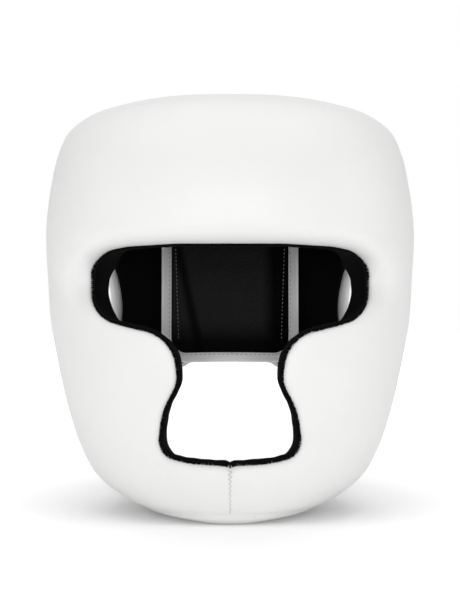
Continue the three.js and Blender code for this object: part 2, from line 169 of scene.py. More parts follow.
# Cells of the grids from which the soft meshes are made
SHELL_CELL = 2.15
CROWN_CELL = 1.6
LINING_CELL = 2.6

# Middle from which the outside and the cavity are both seen as one round surface
CENTRE = np.array([0.0, 0.0, 120.0])
TURNS = np.linspace(0, math.pi, 361)
TILTS = np.linspace(-1.35, math.pi / 2, 500)

# Y or z past which the face opening, the slit and the crown opening don't reach, and a distance for there
FACE_LIMIT = -10
SLIT_LIMIT = 30
CROWN_LIMIT = 236
FAR = 100.0


# Tables and distances

def through_rows(rows, count):
    """A smooth curve through the rows of a table, as an array of count rows."""
    table = np.array(rows, float)
    steps = np.linalg.norm(np.diff(table[:, :2], axis=0), axis=1)
    knots = np.concatenate([[0], np.cumsum(steps)])
    slopes = np.gradient(table, knots, axis=0)
    at = np.linspace(0, knots[-1], count)
    low = np.clip(np.searchsorted(knots, at, side="right") - 1, 0, len(knots) - 2)
    span = (knots[low + 1] - knots[low])[:, None]
    t = (at - knots[low])[:, None] / span
    start = (1 + 2 * t) * (1 - t) ** 2 * table[low] + t * (1 - t) ** 2 * span * slopes[low]
    end = t * t * (3 - 2 * t) * table[low + 1] + t * t * (t - 1) * span * slopes[low + 1]
    return start + end


def smoothstep(value, low, high):
    """A smooth change from 0 at low to 1 at high."""
    t = np.clip((value - low) / (high - low), 0, 1)
    return t * t * (3 - 2 * t)


def bell(value, width):
    """1 at zero, and almost nothing at twice the width."""
    return np.exp(-((value / width) ** 2))


def unit(vectors):
    """Vectors scaled to a length of 1."""
    return vectors / np.linalg.norm(vectors, axis=-1, keepdims=True)


def section_at(rows, z, columns, z_column=0):
    """Columns of a table's sections at height z."""
    curve = through_rows(rows, 1200)
    rising = np.concatenate([[True], np.diff(np.maximum.accumulate(curve[:, z_column])) > 0])
    return [np.interp(z, curve[rising, z_column], curve[rising, k]) for k in columns]


def bowed(reach, x, side, squareness):
    """How far a section of half width side reaches at x."""
    share = np.minimum(np.abs(x) / side, 0.999)
    return reach * (1 - share ** squareness) ** (1 / squareness)


def section_points(rows, squareness):
    """Points of the right half of every section, from front to back."""
    curve = through_rows(rows, 1200)[:, :, None]
    z, side, front, rear_z, rear_side, rear = (curve[:, k] for k in range(6))
    angle = np.linspace(0, math.pi, 1600)[None, :]
    ahead = np.cos(angle) > 0
    power = np.where(ahead, 2 / squareness, 2 / REAR_SQUARENESS)
    thin = smoothstep(angle, *PAD_TAPER)
    across = np.abs(np.sin(angle)) ** power
    along = np.sign(np.cos(angle)) * np.abs(np.cos(angle)) ** power
    x = (side + (rear_side - side) * thin) * across
    y = -np.where(ahead, front, rear) * along
    return x, y, z + (rear_z - z) * thin


def star_table(rows, squareness):
    """Distance of a surface from CENTRE for every turn and tilt, and how squarely each ray meets it."""
    x, y, z = section_points(rows, squareness)
    z = z - CENTRE[2]
    radius = np.sqrt(x * x + y * y + z * z)
    turn = np.arctan2(x, -y)
    tilt = np.arcsin(z / radius)
    row_tilt = np.array([np.interp(TURNS, a, b) for a, b in zip(turn, tilt)])
    row_radius = np.array([np.interp(TURNS, a, b) for a, b in zip(turn, radius)])
    reach = np.array([np.interp(TILTS, a, b) for a, b in zip(row_tilt.T, row_radius.T)])
    by_turn, by_tilt = np.gradient(reach, TURNS, TILTS)
    slope = np.sqrt((by_turn / np.maximum(np.cos(TILTS), 0.05)) ** 2 + by_tilt ** 2)
    return reach, reach / np.sqrt(reach ** 2 + slope ** 2)


def lookup(table, u, v):
    """A table read between its rows u and columns v."""
    u = np.clip(u, 0, table.shape[0] - 1.001)
    v = np.clip(v, 0, table.shape[1] - 1.001)
    i = u.astype(int)
    j = v.astype(int)
    u = u - i
    v = v - j
    low = table[i, j] * (1 - v) + table[i, j + 1] * v
    high = table[i + 1, j] * (1 - v) + table[i + 1, j + 1] * v
    return low * (1 - u) + high * u


def star_distance(table, points):
    """Distance outwards from a surface, negative inside it."""
    reach, square = table
    at = points - CENTRE
    radius = np.maximum(np.linalg.norm(at, axis=1), 1e-6)
    turn = np.arctan2(np.abs(at[:, 0]), -at[:, 1])
    tilt = np.arcsin(np.clip(at[:, 2] / radius, -1, 1))
    u = turn / (TURNS[1] - TURNS[0])
    v = (tilt - TILTS[0]) / (TILTS[1] - TILTS[0])
    return (radius - lookup(reach, u, v)) * lookup(square, u, v)


def rounded_path(corners, arc_step=1.0):
    """Points along corners joined by lines, with an arc of each corner's radius."""
    points = []
    for i, (x, z, radius) in enumerate(corners):
        here = np.array([x, z], float)
        if not radius:
            points.append(here)
            continue
        back = np.array(corners[i - 1][:2], float) - here
        ahead = np.array(corners[(i + 1) % len(corners)][:2], float) - here
        back /= np.linalg.norm(back)
        ahead /= np.linalg.norm(ahead)
        half = math.acos(float(np.clip(back @ ahead, -1, 1))) / 2
        middle = here + (back + ahead) / np.linalg.norm(back + ahead) * radius / math.sin(half)
        start = here + back * radius / math.tan(half) - middle
        sweep = math.pi - 2 * half
        if back[0] * ahead[1] - back[1] * ahead[0] > 0:
            sweep = -sweep
        steps = max(2, round(abs(sweep) * radius / arc_step))
        for angle in np.linspace(0, sweep, steps + 1):
            c, s = math.cos(angle), math.sin(angle)
            points.append(middle + [c * start[0] - s * start[1], s * start[0] + c * start[1]])
    return np.array(points)


def path_lengths(path):
    """Length along a flat path up to each of its points."""
    return np.concatenate([[0], np.cumsum(np.linalg.norm(np.diff(path, axis=0), axis=1))])


def along_path(path, at):
    """Points at given lengths along a flat path."""
    length = path_lengths(path)
    return np.stack([np.interp(at, length, path[:, k]) for k in (0, 1)], 1)


def path_distance(path, points):
    """Distance of points from a flat path."""
    best = np.full(len(points), np.inf)
    for a, b in zip(path[:-1], path[1:]):
        along = b - a
        share = np.clip((points - a) @ along / max(along @ along, 1e-9), 0, 1)
        best = np.minimum(best, np.linalg.norm(points - a - share[:, None] * along, axis=1))
    return best


def edge_distance(past_x, past_z, corner):
    """Distance inside an outline with round corners, from how far past a corner's start a point lies."""
    outside = np.hypot(np.maximum(past_x, 0), np.maximum(past_z, 0))
    return corner - outside - np.minimum(np.maximum(past_x, past_z), 0)


def inside_polygon(polygon, points):
    inside = np.zeros(len(points), bool)
    for a, b in zip(polygon, np.roll(polygon, -1, axis=0)):
        crosses = (a[1] > points[:, 1]) != (b[1] > points[:, 1])
        rise = b[1] - a[1] if b[1] != a[1] else 1e-9
        inside ^= crosses & (points[:, 0] < a[0] + (points[:, 1] - a[1]) * (b[0] - a[0]) / rise)
    return inside


def flat_table(low, high, step, distance):
    """A table of a distance over a flat rectangle."""
    u = np.arange(low[0], high[0] + step, step)
    v = np.arange(low[1], high[1] + step, step)
    points = np.stack(np.meshgrid(u, v, indexing="ij"), -1).reshape(-1, 2)
    return distance(points).reshape(len(u), len(v)), low, step


def read_flat(flat, u, v):
    table, low, step = flat
    return lookup(table, (u - low[0]) / step, (v - low[1]) / step)


FACE_PATH = rounded_path(FACE_CORNERS)
LOWER_PATH = rounded_path(LOWER_EDGE)


def face_distance(points):
    """Distance outside the right half of the face opening, negative inside it."""
    sign = np.where(inside_polygon(FACE_PATH, points), -1, 1)
    return sign * path_distance(FACE_PATH, points)


def lower_distance(points):
    """Distance above the lower edge behind the jaw."""
    sign = np.sign(points[:, 1] - np.interp(points[:, 0], LOWER_PATH[:, 0], LOWER_PATH[:, 1]))
    return sign * path_distance(LOWER_PATH, points)


OUTER = star_table(OUTER_ROWS, OUTER_SQUARENESS)
CAVITY = star_table(CAVITY_ROWS, CAVITY_SQUARENESS)
FACE = flat_table((0, 15), (110, 200), 0.5, face_distance)
FACE_FACING = (np.gradient(FACE[0], FACE[2], axis=1), FACE[1], FACE[2])
LOWER = flat_table((-80, -12), (140, 130), 0.5, lower_distance)


def rounded_max(a, b, radius):
    """Where two solids meet, with the edge between them rounded."""
    past = np.hypot(np.maximum(a + radius, 0), np.maximum(b + radius, 0))
    return np.minimum(np.maximum(a, b), -radius) + past


def face_gap(points, outer, cavity):
    """Distance outside the wall of the face opening, whose edges slope towards the head."""
    x = np.abs(points[:, 0])
    depth = -outer - edge_depth(x, points[:, 2])
    share = np.clip(depth / np.maximum(cavity + depth, 1), 0, 1)
    drawn = x * (1 + SIDE_TAPER / SLOT_END ** 2 * x * share)
    facing = read_flat(FACE_FACING, drawn, points[:, 2])
    slope = facing ** 2 * np.where(facing > 0, BROW_RISE, SILL_DROP)
    gap = read_flat(FACE, drawn, points[:, 2]) - slope * share
    return np.where(points[:, 1] < FACE_LIMIT, gap, FAR)


def face_roll(x, z):
    """Radius of the leather's roll round the face opening, largest along the brow."""
    below = FACE_ROLL + (SLOT_END_ROLL - FACE_ROLL) * smoothstep(np.abs(x), 62, 78)
    return below + (BROW_ROLL - below) * smoothstep(z, 148, 162)


def end_hollow(x, z):
    """Depth of the valley outwards from each end of the eye slot."""
    width = np.where(z > VALLEY_HEIGHT, *VALLEY_WIDTHS)
    return VALLEY_DEPTH * smoothstep(np.abs(x), 66, 84) * bell(z - VALLEY_HEIGHT, width)


def edge_depth(x, z):
    """How far behind the outside the leather ends round the face opening."""
    return face_roll(x, z) + end_hollow(x, z)


def ear_gap(points):
    """Distance outside the oval ear holes."""
    y = points[:, 1] - EAR_MIDDLE[0]
    z = points[:, 2] - EAR_MIDDLE[1]
    scale = np.hypot(y / EAR_HALF[0], z / EAR_HALF[1])
    slope = np.hypot(y / EAR_HALF[0] ** 2, z / EAR_HALF[1] ** 2)
    return scale * (scale - 1) / np.maximum(slope, 1e-6)


def slit_gap(points):
    """Distance outside the slit at the back."""
    above = np.maximum(points[:, 2] - (SLIT_TOP - SLIT_HALF), 0)
    return np.where(points[:, 1] > SLIT_LIMIT, np.hypot(points[:, 0], above) - SLIT_HALF, FAR)


def lower_gap(points):
    """Distance above the lower edge, which hangs lower beside the slit."""
    drop, corner_x, width = 3.2, 34, 4
    corner = drop * bell(np.abs(points[:, 0]) - corner_x, width) * (points[:, 1] > 60)
    return read_flat(LOWER, points[:, 1], points[:, 2] + corner)


def crown_gap(points):
    """Distance outside the opening at the top, which widens downwards."""
    z, side, front, rear = CROWN_RIM
    grow = (z - points[:, 2]) * CROWN_FLARE
    ahead = points[:, 1] < 0
    power = np.where(ahead, OUTER_SQUARENESS, REAR_SQUARENESS)
    a = side + grow
    b = np.where(ahead, front, rear) + grow
    u = np.abs(points[:, 0]) / a
    v = np.abs(points[:, 1]) / b
    scale = np.maximum((u ** power + v ** power) ** (1 / power), 1e-3)
    slope = np.hypot(u ** (power - 1) / a, v ** (power - 1) / b) * scale ** (1 - power)
    return np.where(points[:, 2] > CROWN_LIMIT, (scale - 1) / np.maximum(slope, 1e-4), FAR)


# Small forms of the leather, as depths in millimetres

def chin_seam(points):
    """Groove of the seam down the middle of the chin."""
    x, y, z = points.T
    depth, width = 0.35, 1.1
    return depth * bell(x, width) * smoothstep(z, 5, 9) * (y < -70)


def rim_seam(points):
    """Groove of the seam just above the lower rim of the chin and jaw."""
    height, depth, width = 6.5, 0.8, 1.5
    return depth * bell(points[:, 2] - height, width) * smoothstep(points[:, 1], 12, -20)


def mouth_puckers(points):
    """Small folds that fan out from the lower corners of the mouth opening."""
    depth, folds = 0.35, 13
    corner_x, corner_z = 36, 48
    middle_turn, away = -0.75, 17
    x = np.abs(points[:, 0]) - corner_x
    z = points[:, 2] - corner_z
    turn = np.arctan2(z, x)
    fan = bell(turn - middle_turn, 0.7) * bell(np.hypot(x, z) - away, 6)
    return depth * np.cos(folds * turn) * fan * (points[:, 1] < -60)


def cheek_hollow(points):
    """Shallow hollow of the pad beside the mouth opening."""
    depth, middle, reach = 1.4, (52, 80), (13, 17)
    x = (np.abs(points[:, 0]) - middle[0]) / reach[0]
    z = (points[:, 2] - middle[1]) / reach[1]
    return depth * np.exp(-(x * x + z * z)) * (points[:, 1] < -40)


def edge_shoulder(points, gap):
    """How far the pad falls away towards the sills, the mouth and the chin edge."""
    at_sills, more_at_chin, reach = 3.2, 1.6, 9
    x, z = np.abs(points[:, 0]), points[:, 2]
    share = smoothstep(z, 158, 136) * (1 - 0.5 * smoothstep(x, 60, 80))
    depth = at_sills + more_at_chin * smoothstep(z, 60, 40)
    return depth * share * np.exp(-np.clip(gap, 0, 60) / reach)


def shell_field(points):
    """The white padded shell: negative inside it."""
    outer = star_distance(OUTER, points)
    cavity = star_distance(CAVITY, points)
    gap = face_gap(points, outer, cavity)
    dents = chin_seam(points) + rim_seam(points) + mouth_puckers(points) + cheek_hollow(points)
    dents += edge_shoulder(points, gap)
    dents += end_hollow(points[:, 0], points[:, 2]) * bell(np.clip(gap, 0, 60), 13)
    skin = rounded_max(outer + dents, -gap, face_roll(points[:, 0], points[:, 2]))
    skin = rounded_max(skin, LINING + GAP - cavity, INNER_ROLL)
    skin = rounded_max(skin, -points[:, 2], FLOOR_ROLL)
    skin = rounded_max(skin, -lower_gap(points), PANEL_ROLL)
    skin = rounded_max(skin, -ear_gap(points), EAR_ROLL)
    skin = rounded_max(skin, -slit_gap(points), PANEL_ROLL)
    return rounded_max(skin, -crown_gap(points), CROWN_ROLL)


def crown_field(points):
    """The white panel that closes the top."""
    outer = star_distance(OUTER, points)
    skin = rounded_max(outer, crown_gap(points) + 2 * GAP, CROWN_ROLL)
    return rounded_max(skin, CROWN_UNDERSIDE - points[:, 2], CROWN_ROLL)


def cavity_field(points):
    """The space for the head, with faint folds in the cloth that lines it."""
    x, y, z = points.T
    turn = np.arctan2(x, -y)
    upright = 0.5 * np.sin(17 * turn + 0.05 * z) * np.sin(9 * turn + 1)
    level = 0.3 * np.sin(0.21 * z + 3 * turn)
    return star_distance(CAVITY, points) + (upright + level) * 0.5


# Meshes from distances

def grid_values(field, low, high, voxel):
    """A field read on a box of evenly spaced points."""
    axes = [np.arange(a, b + voxel, voxel) for a, b in zip(low, high)]
    plane = np.stack(np.meshgrid(axes[1], axes[2], indexing="ij"), -1).reshape(-1, 2)
    values = np.empty([len(axis) for axis in axes])
    for i, x in enumerate(axes[0]):
        points = np.column_stack([np.full(len(plane), x), plane])
        values[i] = field(points).reshape(values.shape[1:])
    return values


def cell_points(values):
    """Index and middle of the crossings of each cell that the surface passes through."""
    shape = tuple(n - 1 for n in values.shape)
    total = np.zeros(shape + (3,))
    count = np.zeros(shape)
    for axis in range(3):
        b, c = (axis + 1) % 3, (axis + 2) % 3
        for step_b in (0, 1):
            for step_c in (0, 1):
                offset = [0, 0, 0]
                offset[b], offset[c] = step_b, step_c
                start = values[tuple(slice(o, o + n) for o, n in zip(offset, shape))]
                offset[axis] = 1
                end = values[tuple(slice(o, o + n) for o, n in zip(offset, shape))]
                crossing = (start < 0) != (end < 0)
                share = start / np.where(crossing, start - end, 1)
                total[..., axis] += np.where(crossing, share, 0)
                total[..., b] += crossing * step_b
                total[..., c] += crossing * step_c
                count += crossing
    active = count > 0
    index = np.full(shape, -1)
    index[active] = np.arange(active.sum())
    return index, np.argwhere(active) + total[active] / count[active][:, None]


def cell_quads(values, index):
    """A quad round every grid edge that the surface crosses, facing out of the solid."""
    inside = values < 0
    quads = []
    for axis in range(3):
        b, c = (axis + 1) % 3, (axis + 2) % 3
        start = [slice(1, -1)] * 3
        end = [slice(1, -1)] * 3
        start[axis], end[axis] = slice(0, -1), slice(1, None)
        first, second = inside[tuple(start)], inside[tuple(end)]
        edges = np.argwhere(first != second)
        leaving = first[tuple(edges.T)]
        edges[:, b] += 1
        edges[:, c] += 1
        around = []
        for step_b, step_c in ((-1, -1), (0, -1), (0, 0), (-1, 0)):
            cell = edges.copy()
            cell[:, b] += step_b
            cell[:, c] += step_c
            around.append(index[tuple(cell.T)])
        ring = np.stack(around, 1)
        quads.append(np.where(leaving[:, None], ring, ring[:, ::-1]))
    return np.concatenate(quads)


def gradient(field, points, step=0.05):
    columns = []
    for axis in range(3):
        move = np.zeros(3)
        move[axis] = step
        columns.append((field(points + move) - field(points - move)) / (2 * step))
    return np.stack(columns, 1)


def settle(field, points, rounds=3, limit=1.0):
    """Moves points onto the surface of a field."""
    for _ in range(rounds):
        slope = gradient(field, points)
        share = field(points) / np.maximum((slope ** 2).sum(1), 0.05)
        points = points - np.clip(share, -limit, limit)[:, None] * slope
    return points


def relax(field, points, quads, rounds=2):
    """Evens out the spacing of points along the surface."""
    a = quads.ravel()
    b = np.roll(quads, -1, axis=1).ravel()
    degree = np.bincount(a, minlength=len(points)) + np.bincount(b, minlength=len(points))
    for _ in range(rounds):
        total = np.zeros_like(points)
        np.add.at(total, a, points[b])
        np.add.at(total, b, points[a])
        move = total / np.maximum(degree, 1)[:, None] - points
        slope = gradient(field, points)
        normal = slope / np.maximum(np.linalg.norm(slope, axis=1), 1e-6)[:, None]
        move -= (move * normal).sum(1)[:, None] * normal
        points = settle(field, points + 0.6 * move, 1)
    return points


def field_mesh(field, low, high, voxel):
    """Vertices and quads of a field's surface."""
    values = grid_values(field, low, high, voxel)
    index, cells = cell_points(values)
    quads = cell_quads(values, index)
    points = settle(field, np.array(low) + voxel * cells)
    return relax(field, points, quads), quads


def grid_quads(rows, columns, closed=False):
    """Quads of a grid of points, closed along its rows where asked."""
    last = rows if closed else rows - 1
    i, j = np.meshgrid(np.arange(last), np.arange(columns - 1), indexing="ij")
    i, j = i.ravel(), j.ravel()
    after = (i + 1) % rows
    return np.stack([i * columns + j, after * columns + j, after * columns + j + 1, i * columns + j + 1], 1)


def border_edges(faces):
    """Edges that only one face uses, in that face's direction."""
    seen = {}
    for face in faces:
        for a, b in zip(face, face[1:] + face[:1]):
            if seen.pop((b, a), None) is None:
                seen[(a, b)] = True
    return list(seen)


def thicken(points, faces, back):
    """A closed solid between a sheet and its back, with the same points in the same order."""
    count = len(points)
    faces = [list(map(int, face)) for face in faces]
    closed = list(faces)
    closed += [[count + k for k in reversed(face)] for face in faces]
    closed += [[b, a, count + a, count + b] for a, b in border_edges(faces)]
    return np.concatenate([points, back]), closed


def grid_solid(front, back, closed=False, turned=False):
    """A closed solid between two grids of points."""
    quads = grid_quads(*front.shape[:2], closed)
    return thicken(front.reshape(-1, 3), quads[:, ::-1] if turned else quads, back.reshape(-1, 3))


def clip_faces(points, quads, keep):
    """The triangles of quads where keep is positive, cut along its zero line."""
    triangles = np.concatenate([quads[:, [0, 1, 2]], quads[:, [0, 2, 3]]])
    kept = keep > 0
    count = kept[triangles].sum(1)
    faces = triangles[count == 3].tolist()
    points = list(points)
    cuts = {}

    def cut(a, b):
        key = (min(a, b), max(a, b))
        if key not in cuts:
            share = keep[a] / (keep[a] - keep[b])
            cuts[key] = len(points)
            points.append(points[a] + share * (points[b] - points[a]))
        return cuts[key]

    for face in triangles[(count > 0) & (count < 3)].tolist():
        ring = []
        for a, b in zip(face, face[1:] + face[:1]):
            if kept[a]:
                ring.append(a)
            if kept[a] != kept[b]:
                ring.append(cut(a, b))
        faces.append(ring)
    used = sorted({k for face in faces for k in face})
    renumber = {k: i for i, k in enumerate(used)}
    return np.array([points[k] for k in used]), [[renumber[k] for k in face] for face in faces]


def make_piece(name, points, faces, material, replaced=(), slot=None):
    """A smooth mesh object from points in millimetres, which rides with the part."""
    mesh = bpy.data.meshes.new(name)
    mesh.from_pydata((np.asarray(points) * MM).tolist(), [], [list(map(int, f)) for f in faces])
    mesh.validate()
    mesh.shade_smooth()
    mesh.materials.append(material)
    piece = bpy.data.objects.new(name, mesh)
    bpy.context.scene.collection.objects.link(piece)
    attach(piece, "root")
    if replaced:
        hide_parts(*replaced)
    return piece


# Materials

NOISE = "TexNoise"
CELLS = "TexVoronoi"
WAVES = "TexWave"

# Left fold of the nape panel, along which its mesh is painted darker as shade: how far it leans for each
# metre of height, and how far left of the middle it would meet the floor, in metres
FOLD_SLANT = 0.209
FOLD_SET = 0.0019


def connect(tree, node, inputs):
    """Sets inputs of a node, each to a plain value or to another node's output."""
    for key, value in inputs.items():
        if isinstance(value, bpy.types.NodeSocket):
            tree.links.new(value, node.inputs[key])
        else:
            node.inputs[key].default_value = value


def add_node(tree, kind, inputs, **settings):
    """Outputs of a new node."""
    node = tree.nodes.new("ShaderNode" + kind)
    for name, value in settings.items():
        setattr(node, name, value)
    connect(tree, node, inputs)
    return node.outputs


def plain_material(name, colour, roughness, gloss=0.5):
    """A material of one colour, roughness and gloss, with its nodes and its shader."""
    material = bpy.data.materials.new(name)
    material.use_nodes = True
    tree = material.node_tree
    shader = tree.nodes["Principled BSDF"]
    connect(tree, shader, {"Base Color": (*colour, 1), "Roughness": roughness, "Specular IOR Level": gloss})
    return material, tree, shader


def object_place(tree):
    """Object coordinates."""
    return add_node(tree, "TexCoord", {})["Object"]


def texture(tree, kind, scale, **inputs):
    """Value of a texture in object coordinates, with scale in features for each metre."""
    outputs = add_node(tree, kind, {"Vector": object_place(tree), "Scale": scale, **inputs})
    return outputs["Distance" if kind == CELLS else "Fac"]


def split(tree, vector):
    """The x, y and z of a vector."""
    return add_node(tree, "SeparateXYZ", {"Vector": vector})


def ramped(tree, value, start, end, low, high):
    """A number that goes from low to high while the value goes from start to end."""
    limits = {"From Min": start, "From Max": end, "To Min": low, "To Max": high}
    return add_node(tree, "MapRange", {"Value": value, **limits})["Result"]


def computed(tree, operation, *values):
    """A number made from one or two others."""
    return add_node(tree, "Math", dict(enumerate(values)), operation=operation)["Value"]


def colour_between(tree, factor, low, high):
    """A colour that runs from low to high with a texture."""
    colours = add_node(tree, "ValToRGB", {"Fac": factor})["Color"]
    stops = colours.node.color_ramp.elements
    for stop, position, colour in zip(stops, (0.3, 0.7), (low, high)):
        stop.position = position
        stop.color = (*colour, 1)
    return colours


def bumps(tree, layers):
    """Normal of stacked bump layers, each a height, a strength and a depth in metres."""
    below = {}
    for height, strength, depth in layers:
        inputs = {"Height": height, "Strength": strength, "Distance": depth, **below}
        normal = add_node(tree, "Bump", inputs)["Normal"]
        below = {"Normal": normal}
    return normal


def leather_material(name, low, high, gloss):
    """Satin leather with a fine grain, small uneven places and slight changes of shade."""
    material, tree, shader = plain_material(name, high, 0.48, gloss)
    soft = texture(tree, NOISE, 38, Detail=2.0)
    layers = (
        (soft, 0.25, 0.0014),
        (texture(tree, CELLS, 900), 0.18, 0.0003),
        (texture(tree, NOISE, 2400, Detail=2.0), 0.12, 0.0001),
    )
    connect(tree, shader, {
        "Base Color": colour_between(tree, texture(tree, NOISE, 11, Detail=3.0), low, high),
        "Roughness": ramped(tree, soft, 0, 1, 0.42, 0.56),
        "Normal": bumps(tree, layers),
    })
    return material


def lining_material():
    """Black brushed knit, matt and slightly furry."""
    low, high = (0.0015, 0.0015, 0.0016), (0.0055, 0.0055, 0.0058)
    material, tree, shader = plain_material("black_lining", low, 0.95, 0.03)
    fibres = texture(tree, NOISE, 1500, Detail=4.0)
    layers = ((texture(tree, CELLS, 700), 0.5, 0.0006), (fibres, 0.5, 0.0005))
    connect(tree, shader, {
        "Base Color": colour_between(tree, fibres, low, high),
        "Normal": bumps(tree, layers),
        "Sheen Weight": 0.006,
        "Sheen Roughness": 0.6,
    })
    return material


def nape_painted_shade(tree):
    """Painted shade of the nape panel: a factor that darkens its mesh in its left fold, at its right side
    and at its bottom.
    """
    parts = split(tree, object_place(tree))
    x, z = parts["X"], parts["Z"]
    lean = computed(tree, "MULTIPLY", z, FOLD_SLANT)
    from_fold = computed(tree, "ADD", lean, computed(tree, "ADD", x, FOLD_SET))
    fold = ramped(tree, computed(tree, "ABSOLUTE", from_fold), 0.0008, 0.0045, 0.25, 1.0)
    right = ramped(tree, x, 0.0225, 0.031, 1.0, 0.1)
    bottom = ramped(tree, z, 0.099, 0.116, 0.12, 1.0)
    return computed(tree, "MULTIPLY", computed(tree, "MULTIPLY", fold, right), bottom)


def woven_material():
    """Black fine mesh: two sets of slanting ribs that cross, with painted shade over them."""
    low, high = (0.016, 0.016, 0.0165), (0.042, 0.042, 0.043)
    material, tree, shader = plain_material("black_mesh", low, 0.8, 0.06)
    turn = (0, math.radians(38), 0)
    slant = add_node(tree, "Mapping", {"Vector": object_place(tree), "Rotation": turn})["Vector"]
    ribs = [add_node(tree, WAVES, {"Vector": slant, "Scale": 230}, bands_direction=way)["Fac"]
            for way in ("X", "Z")]
    weave = computed(tree, "MULTIPLY", *ribs)
    # Painted shade: the weave's colour is scaled darker in the left fold, at the right side and at the
    # bottom.
    colour_with_painted_shade = {"Vector": colour_between(tree, weave, low, high), "Scale": nape_painted_shade(tree)}
    layers = ((weave, 0.6, 0.0005), (texture(tree, NOISE, 900, Detail=3.0), 0.3, 0.0004))
    connect(tree, shader, {
        "Base Color": add_node(tree, "VectorMath", colour_with_painted_shade, operation="SCALE")["Vector"],
        "Normal": bumps(tree, layers),
        "Sheen Weight": 0.02,
    })
    return material


def thread_material(name, colour):
    """Twisted sewing thread."""
    material, tree, shader = plain_material(name, colour, 0.7)
    twist = texture(tree, WAVES, 700, Distortion=1.5)
    twist.node.bands_direction = "DIAGONAL"
    dull = tuple(0.8 * c for c in colour)
    connect(tree, shader, {
        "Base Color": colour_between(tree, texture(tree, NOISE, 3000), dull, colour),
        "Normal": bumps(tree, ((twist, 0.5, 0.0002),)),
    })
    return material


# The binding is the same white leather as the shell, in a copy painted lighter: painted light for the
# shaded inside where it sits.
LEATHER = leather_material("white_leather", (0.695, 0.695, 0.69), (0.725, 0.725, 0.72), 0.4)
TRIM_PAINTED_LIGHTER = leather_material("white_binding", (0.9, 0.9, 0.895), (0.94, 0.94, 0.935), 0.85)
LINING_CLOTH = lining_material()
MESH_CLOTH = woven_material()
WHITE_THREAD = thread_material("white_thread", (0.8, 0.8, 0.79))
# Grey thread is white thread painted grey: painted shade on and round its small stitches.
SHADE_GREY_THREAD = thread_material("grey_thread_painted_shade", (0.42, 0.42, 0.42))
DARK_THREAD = thread_material("dark_thread", (0.05, 0.05, 0.05))


# Pieces

def padded_shell():
    """The white padded leather."""
    points, quads = field_mesh(shell_field, (-121, -131, -3), (121, 127, 268), SHELL_CELL)
    piece = make_piece("padded_shell_soft", points, quads, LEATHER, ("padded_shell",), "white_leather")


def crown_panel():
    """The white panel at the top, with black cloth under it."""
    points, quads = field_mesh(crown_field, (-60, -66, 242), (60, 80, 268), CROWN_CELL)
    piece = make_piece("crown_panel_soft", points, quads, LEATHER, ("crown_panel",), "white_leather")
    piece.data.materials.append(LINING_CLOTH)
    normals = np.empty(3 * len(quads), np.float32)
    piece.data.polygons.foreach_get("normal", normals)
    underside = (normals.reshape(-1, 3)[:, 2] < -0.6).astype(np.int32)
    piece.data.polygons.foreach_set("material_index", underside)


def lining_keep(points):
    """How far inside the edges of the lining a point of the cavity's wall lies."""
    face_margin, ear_margin, lower_margin = 6, 1.5, 4
    bottom, top = 8, 245.5
    outer = star_distance(OUTER, points)
    edges = (
        face_gap(points, outer, np.zeros(len(points))) - face_margin,
        ear_gap(points) - ear_margin,
        lower_gap(points) - lower_margin,
        slit_gap(points),
        points[:, 2] - bottom,
        top - points[:, 2],
    )
    return np.minimum.reduce(edges)


def lining_inside():
    """The cloth on the inside of the shell."""
    points, quads = field_mesh(cavity_field, (-88, -98, -3), (88, 120, 256), LINING_CELL)
    points, faces = clip_faces(points, quads, lining_keep(points))
    back = points + (LINING - 0.3) * unit(gradient(cavity_field, points))
    points, faces = thicken(points, [face[::-1] for face in faces], back)
    piece = make_piece("lining_inside", points, faces, LINING_CLOTH, ("lining",), "black_lining")


def whole_outline(step):
    """Evenly spaced points and outward directions round the whole face opening, in x and z."""
    loop = np.concatenate([FACE_PATH, (FACE_PATH * [-1, 1])[-2:0:-1]])
    closed = np.concatenate([loop, loop[:1]])
    total = path_lengths(closed)[-1]
    count = 2 * round(total / step / 2)
    points = along_path(closed, np.arange(count) * total / count)
    along = unit(np.roll(points, -2, axis=0) - np.roll(points, 2, axis=0))
    return points, np.stack([-along[:, 1], along[:, 0]], 1)


def front_y(rows, flat, squareness, depth=0.0):
    """Y of the front of a surface at flat points in x and z, moved outwards by depth."""
    side, front = section_at(rows, flat[:, 1], (1, 2))
    return -bowed(front + depth, flat[:, 0], side + depth, squareness)


def drawn_in(flat):
    """An outline on the outside moved to where its wall meets the cavity."""
    x = flat[:, 0]
    drawn = x * (1 - SIDE_TAPER / SLOT_END * np.abs(x) / SLOT_END)
    return np.stack([drawn, flat[:, 1]], 1)


# Corners of the opening that the lining rounds off more than the leather: x, z, amount and reach
INNER_CORNERS = (
    (41.2, 44.3, 0.7, 8),
    (80.6, 159.3, 5.3, 11),
    (80.6, 129, 1.5, 9),
)


def inner_rounding(flat):
    """How far the lining stands in from the wall at the corners of the opening."""
    total = np.zeros(len(flat))
    for x, z, amount, reach in INNER_CORNERS:
        total += amount * bell(np.hypot(np.abs(flat[:, 0]) - x, flat[:, 1] - z), reach)
    return total


def sloped(flat, outward):
    """An outline with its lower edges dropped and its upper edge raised."""
    facing = outward[:, 1]
    rise = facing * np.where(facing > 0, BROW_RISE, SILL_DROP)
    return flat + np.stack([np.zeros(len(flat)), rise], 1)


def lifted(flat, y):
    """Points in x and z with their y put in."""
    return np.stack([flat[:, 0], y, flat[:, 1]], 1)


